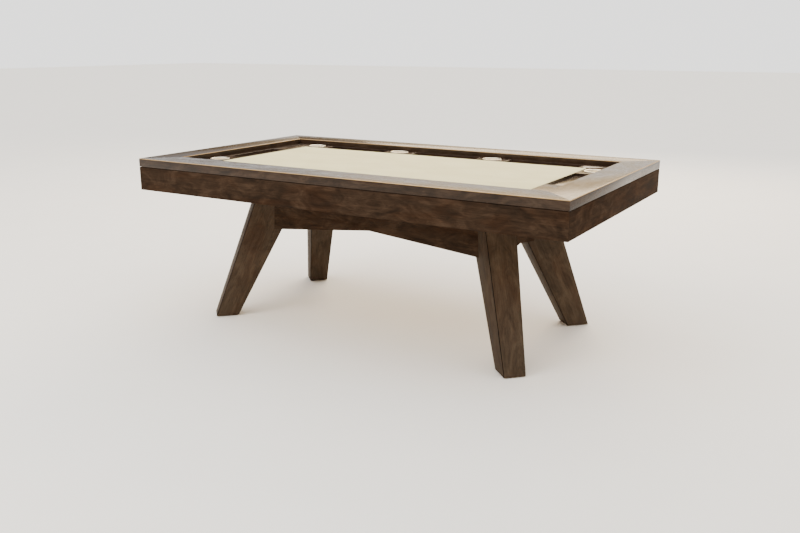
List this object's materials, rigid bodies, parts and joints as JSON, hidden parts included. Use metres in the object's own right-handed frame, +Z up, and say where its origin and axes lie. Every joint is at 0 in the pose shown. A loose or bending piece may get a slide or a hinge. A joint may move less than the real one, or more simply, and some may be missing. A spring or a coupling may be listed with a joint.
{
  "type": "bumper pool table",
  "caption": "Seven-foot walnut game table with a lift-out padded card top, drop-in cup holders and chip slots, over a bumper pool bed on splayed legs.",
  "frame": {"origin": "on the floor under the middle of the table", "axes": "+X along the long side, +Y towards the back, +Z up"},
  "size_m": [2.21, 1.252, 0.813],
  "materials": {
    "walnut": "dark walnut stain, satin lacquer",
    "hidden_softwood": "planed, unfinished",
    "bed_board": "raw board",
    "bed_cloth": "woven worsted cloth",
    "cushion_cloth": "rubber under stretched cloth",
    "pocket_plastic": "moulded, fine texture",
    "bumper_post": "moulded, polished",
    "bumper_rubber": "moulded",
    "fixing_steel": "zinc plated",
    "leveller_steel": "blackened",
    "plywood": "birch faces, sanded",
    "card_cloth": "speed cloth over foam",
    "top_feet": "turned, stained",
    "cup_metal": "satin spun steel, warm tint"
  },
  "bodies": {
    "table": {"apron_back": "walnut", "apron_corner_blocks": "hidden_softwood", "apron_front": "walnut", "apron_left": "walnut", "apron_right": "walnut", "beam_back": "walnut", "beam_front": "walnut", "beam_left": "walnut", "beam_right": "walnut", "bed_bearers": "hidden_softwood", "bed_cloth": "bed_cloth", "bed_panel": "bed_board", "bumper_posts": "bumper_post", "bumper_rings": "bumper_rubber", "cap_back": "walnut", "cap_front": "walnut", "cap_left": "walnut", "cap_right": "walnut", "cushion_back": "cushion_cloth", "cushion_front": "cushion_cloth", "cushion_left": "cushion_cloth", "cushion_right": "cushion_cloth", "leg_back_left_narrow_boards": "walnut", "leg_back_left_wide_boards": "walnut", "leg_back_right_narrow_boards": "walnut", "leg_back_right_wide_boards": "walnut", "leg_bolts": "fixing_steel", "leg_foot_blocks": "hidden_softwood", "leg_front_left_narrow_boards": "walnut", "leg_front_left_wide_boards": "walnut", "leg_front_right_narrow_boards": "walnut", "leg_front_right_wide_boards": "walnut", "leg_top_plates": "fixing_steel", "pocket_cup_left": "pocket_plastic", "pocket_cup_right": "pocket_plastic", "rail_block_back": "hidden_softwood", "rail_block_front": "hidden_softwood", "rail_block_left": "hidden_softwood", "rail_block_right": "hidden_softwood"},
    "game_top": {"chip_slot_liners": "walnut", "cloth_field": "card_cloth", "game_top_base": "plywood", "game_top_feet": "top_feet", "surround_back": "walnut", "surround_front": "walnut", "surround_left": "walnut", "surround_right": "walnut"},
    "cup_holder_back_1": {"cup_holder_back_1": "cup_metal"},
    "cup_holder_back_2": {"cup_holder_back_2": "cup_metal"},
    "cup_holder_back_3": {"cup_holder_back_3": "cup_metal"},
    "cup_holder_front_1": {"cup_holder_front_1": "cup_metal"},
    "cup_holder_front_2": {"cup_holder_front_2": "cup_metal"},
    "cup_holder_front_3": {"cup_holder_front_3": "cup_metal"},
    "cup_holder_left": {"cup_holder_left": "cup_metal"},
    "cup_holder_right": {"cup_holder_right": "cup_metal"},
    "leveller_back_left": {"leveller_back_left": "leveller_steel"},
    "leveller_back_right": {"leveller_back_right": "leveller_steel"},
    "leveller_front_left": {"leveller_front_left": "leveller_steel"},
    "leveller_front_right": {"leveller_front_right": "leveller_steel"}
  },
  "joints": [
    {"name": "game_top_lift", "type": "slide", "parent": "table", "child": "game_top", "axis": [0, 0, 1], "range_m": [0, 0.25]},
    {"name": "cup_holder_back_1_lift", "type": "slide", "parent": "game_top", "child": "cup_holder_back_1", "axis": [0, 0, 1], "range_m": [0, 0.1]},
    {"name": "cup_holder_back_2_lift", "type": "slide", "parent": "game_top", "child": "cup_holder_back_2", "axis": [0, 0, 1], "range_m": [0, 0.1]},
    {"name": "cup_holder_back_3_lift", "type": "slide", "parent": "game_top", "child": "cup_holder_back_3", "axis": [0, 0, 1], "range_m": [0, 0.1]},
    {"name": "cup_holder_front_1_lift", "type": "slide", "parent": "game_top", "child": "cup_holder_front_1", "axis": [0, 0, 1], "range_m": [0, 0.1]},
    {"name": "cup_holder_front_2_lift", "type": "slide", "parent": "game_top", "child": "cup_holder_front_2", "axis": [0, 0, 1], "range_m": [0, 0.1]},
    {"name": "cup_holder_front_3_lift", "type": "slide", "parent": "game_top", "child": "cup_holder_front_3", "axis": [0, 0, 1], "range_m": [0, 0.1]},
    {"name": "cup_holder_left_lift", "type": "slide", "parent": "game_top", "child": "cup_holder_left", "axis": [0, 0, 1], "range_m": [0, 0.1]},
    {"name": "cup_holder_right_lift", "type": "slide", "parent": "game_top", "child": "cup_holder_right", "axis": [0, 0, 1], "range_m": [0, 0.1]},
    {"name": "leveller_back_left_screw", "type": "slide", "parent": "table", "child": "leveller_back_left", "axis": [0, 0, -1], "range_m": [0, 0.015]},
    {"name": "leveller_back_right_screw", "type": "slide", "parent": "table", "child": "leveller_back_right", "axis": [0, 0, -1], "range_m": [0, 0.015]},
    {"name": "leveller_front_left_screw", "type": "slide", "parent": "table", "child": "leveller_front_left", "axis": [0, 0, -1], "range_m": [0, 0.015]},
    {"name": "leveller_front_right_screw", "type": "slide", "parent": "table", "child": "leveller_front_right", "axis": [0, 0, -1], "range_m": [0, 0.015]}
  ]
}
